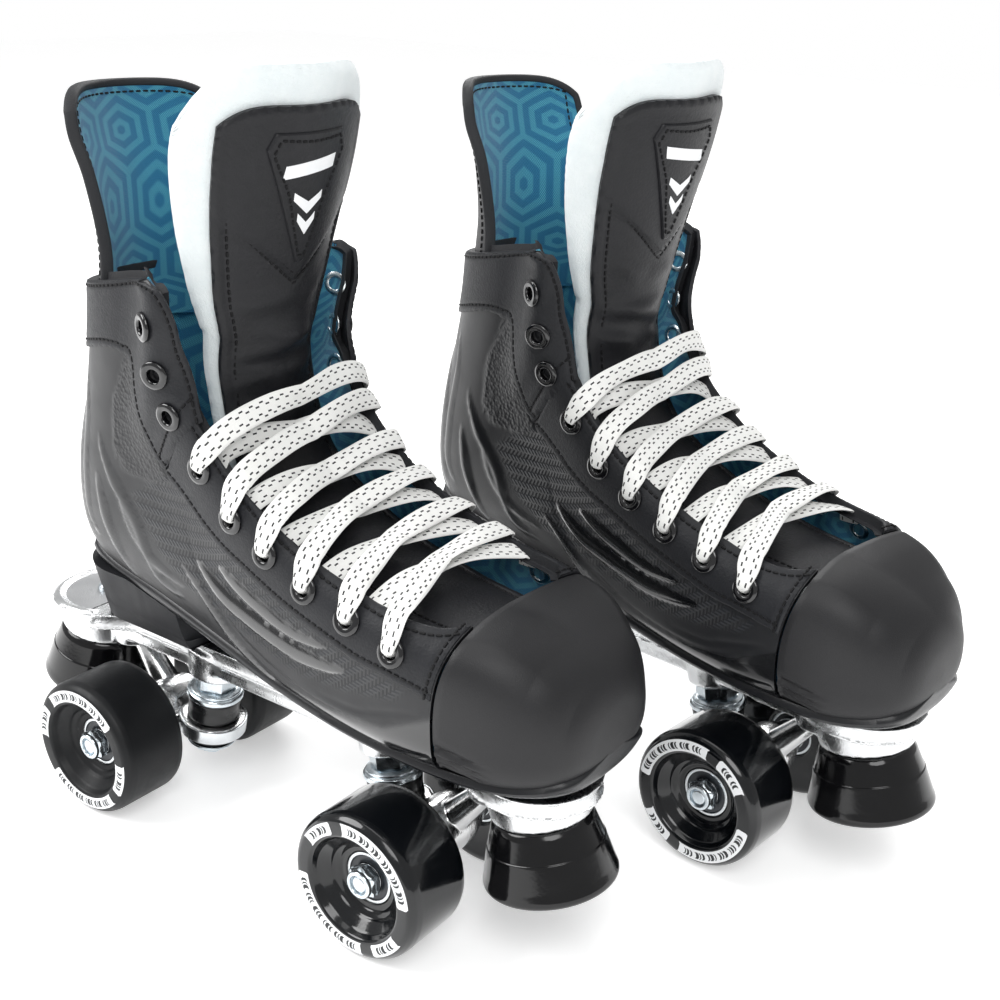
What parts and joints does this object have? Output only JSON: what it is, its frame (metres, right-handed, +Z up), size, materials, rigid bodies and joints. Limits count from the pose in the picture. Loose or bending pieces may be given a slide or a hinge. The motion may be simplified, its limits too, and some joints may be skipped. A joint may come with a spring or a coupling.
{
  "type": "quad roller skates",
  "caption": "Quad roller skates: lace-up padded boots on metal plates with steering trucks, wide wheels, and toe and heel stops.",
  "frame": {"origin": "bottom centre of the bounding box of the pair, on the floor", "axes": "+Z up; +Y towards the heels of the right skate, whose axles lie along X; the right skate stands on the -X side and the left one on the +X side, turned 5.78 degrees with its toe inwards"},
  "size_m": [0.2666, 0.3972, 0.326],
  "materials": {
    "leather": "matte black grained synthetic leather",
    "moulded_plastic": "satin to glossy black moulding",
    "lining": "teal woven lining with a lighter line pattern",
    "felt": "thick white felt",
    "lace": "flat white woven lace with black flecks",
    "plate_aluminium": "satin cast aluminium",
    "truck_aluminium": "polished cast aluminium",
    "zinc_steel": "zinc plated steel",
    "bearing_steel": "ground bearing steel",
    "cushion_rubber": "black urethane",
    "urethane": "glossy smoke black urethane",
    "stop_rubber": "glossy black rubber"
  },
  "bodies": {
    "right_skate": {"right_boot_shell": "leather", "right_toe_cap": "moulded_plastic", "right_outsole": "moulded_plastic", "right_footbed": "lining", "right_heel_wedge": "moulded_plastic", "right_tendon_guard": "lining", "right_tongue_base": "leather", "right_laces": "lace", "right_plate": "plate_aluminium", "right_toe_stop": "stop_rubber", "right_heel_stop": "stop_rubber", "right_front_kingpin": "zinc_steel", "right_front_upper_cushion": "cushion_rubber", "right_front_lower_cushion": "cushion_rubber", "right_rear_kingpin": "zinc_steel", "right_rear_upper_cushion": "cushion_rubber", "right_rear_lower_cushion": "cushion_rubber"},
    "right_tongue_flap": {"right_tongue": "felt"},
    "right_front_truck": {"right_front_hanger": "truck_aluminium", "right_front_axle": "zinc_steel"},
    "right_front_outer_wheel_set": {"right_front_outer_wheel": "urethane", "right_front_outer_bearings": "bearing_steel"},
    "right_front_inner_wheel_set": {"right_front_inner_wheel": "urethane", "right_front_inner_bearings": "bearing_steel"},
    "right_rear_truck": {"right_rear_hanger": "truck_aluminium", "right_rear_axle": "zinc_steel"},
    "right_rear_outer_wheel_set": {"right_rear_outer_wheel": "urethane", "right_rear_outer_bearings": "bearing_steel"},
    "right_rear_inner_wheel_set": {"right_rear_inner_wheel": "urethane", "right_rear_inner_bearings": "bearing_steel"},
    "left_skate": {"left_boot_shell": "leather", "left_toe_cap": "moulded_plastic", "left_outsole": "moulded_plastic", "left_footbed": "lining", "left_heel_wedge": "moulded_plastic", "left_tendon_guard": "lining", "left_tongue_base": "leather", "left_laces": "lace", "left_plate": "plate_aluminium", "left_toe_stop": "stop_rubber", "left_heel_stop": "stop_rubber", "left_front_kingpin": "zinc_steel", "left_front_upper_cushion": "cushion_rubber", "left_front_lower_cushion": "cushion_rubber", "left_rear_kingpin": "zinc_steel", "left_rear_upper_cushion": "cushion_rubber", "left_rear_lower_cushion": "cushion_rubber"},
    "left_tongue_flap": {"left_tongue": "felt"},
    "left_front_truck": {"left_front_hanger": "truck_aluminium", "left_front_axle": "zinc_steel"},
    "left_front_outer_wheel_set": {"left_front_outer_wheel": "urethane", "left_front_outer_bearings": "bearing_steel"},
    "left_front_inner_wheel_set": {"left_front_inner_wheel": "urethane", "left_front_inner_bearings": "bearing_steel"},
    "left_rear_truck": {"left_rear_hanger": "truck_aluminium", "left_rear_axle": "zinc_steel"},
    "left_rear_outer_wheel_set": {"left_rear_outer_wheel": "urethane", "left_rear_outer_bearings": "bearing_steel"},
    "left_rear_inner_wheel_set": {"left_rear_inner_wheel": "urethane", "left_rear_inner_bearings": "bearing_steel"}
  },
  "joints": [
    {"name": "right_tongue_flex", "type": "hinge", "parent": "right_skate", "child": "right_tongue_flap", "pos_m": [-0.07726, 0.05704, 0.206], "axis": [1, 0, 0], "range_deg": [-8, 15], "stiffness_Nm_per_rad": 2},
    {"name": "right_front_steer", "type": "hinge", "parent": "right_skate", "child": "right_front_truck", "pos_m": [-0.07726, -0.06396, 0.058], "axis": [0, -0.864, 0.5034], "range_deg": [-8, 8], "stiffness_Nm_per_rad": 30, "deforming": ["right_front_upper_cushion", "right_front_lower_cushion"]},
    {"name": "right_front_outer_wheel_spin", "type": "hinge", "parent": "right_front_truck", "child": "right_front_outer_wheel_set", "pos_m": [-0.11651, -0.04046, 0.031], "axis": [1, 0, 0], "continuous": true},
    {"name": "right_front_inner_wheel_spin", "type": "hinge", "parent": "right_front_truck", "child": "right_front_inner_wheel_set", "pos_m": [-0.03801, -0.04046, 0.031], "axis": [1, 0, 0], "continuous": true},
    {"name": "right_rear_steer", "type": "hinge", "parent": "right_skate", "child": "right_rear_truck", "pos_m": [-0.07726, 0.14204, 0.058], "axis": [0, 0.864, 0.5034], "range_deg": [-8, 8], "stiffness_Nm_per_rad": 30, "deforming": ["right_rear_upper_cushion", "right_rear_lower_cushion"]},
    {"name": "right_rear_outer_wheel_spin", "type": "hinge", "parent": "right_rear_truck", "child": "right_rear_outer_wheel_set", "pos_m": [-0.11651, 0.11854, 0.031], "axis": [1, 0, 0], "continuous": true},
    {"name": "right_rear_inner_wheel_spin", "type": "hinge", "parent": "right_rear_truck", "child": "right_rear_inner_wheel_set", "pos_m": [-0.03801, 0.11854, 0.031], "axis": [1, 0, 0], "continuous": true},
    {"name": "left_tongue_flex", "type": "hinge", "parent": "left_skate", "child": "left_tongue_flap", "pos_m": [0.06855, -0.02135, 0.206], "axis": [0.9949, -0.1007, 0], "range_deg": [-8, 15], "stiffness_Nm_per_rad": 2},
    {"name": "left_front_steer", "type": "hinge", "parent": "left_skate", "child": "left_front_truck", "pos_m": [0.05637, -0.14174, 0.058], "axis": [-0.087, -0.8597, 0.5034], "range_deg": [-8, 8], "stiffness_Nm_per_rad": 30, "deforming": ["left_front_upper_cushion", "left_front_lower_cushion"]},
    {"name": "left_front_outer_wheel_spin", "type": "hinge", "parent": "left_front_truck", "child": "left_front_outer_wheel_set", "pos_m": [0.09778, -0.12231, 0.031], "axis": [0.9949, -0.1007, 0], "continuous": true},
    {"name": "left_front_inner_wheel_spin", "type": "hinge", "parent": "left_front_truck", "child": "left_front_inner_wheel_set", "pos_m": [0.01968, -0.1144, 0.031], "axis": [0.9949, -0.1007, 0], "continuous": true},
    {"name": "left_rear_steer", "type": "hinge", "parent": "left_skate", "child": "left_rear_truck", "pos_m": [0.07711, 0.06321, 0.058], "axis": [0.087, 0.8597, 0.5034], "range_deg": [-8, 8], "stiffness_Nm_per_rad": 30, "deforming": ["left_rear_upper_cushion", "left_rear_lower_cushion"]},
    {"name": "left_rear_outer_wheel_spin", "type": "hinge", "parent": "left_rear_truck", "child": "left_rear_outer_wheel_set", "pos_m": [0.1138, 0.03588, 0.031], "axis": [0.9949, -0.1007, 0], "continuous": true},
    {"name": "left_rear_inner_wheel_spin", "type": "hinge", "parent": "left_rear_truck", "child": "left_rear_inner_wheel_set", "pos_m": [0.0357, 0.04379, 0.031], "axis": [0.9949, -0.1007, 0], "continuous": true},
    {"name": "left_skate_lift", "type": "slide", "parent": "right_skate", "child": "left_skate", "axis": [0, 0, 1], "range_m": [0, 0.3]}
  ]
}
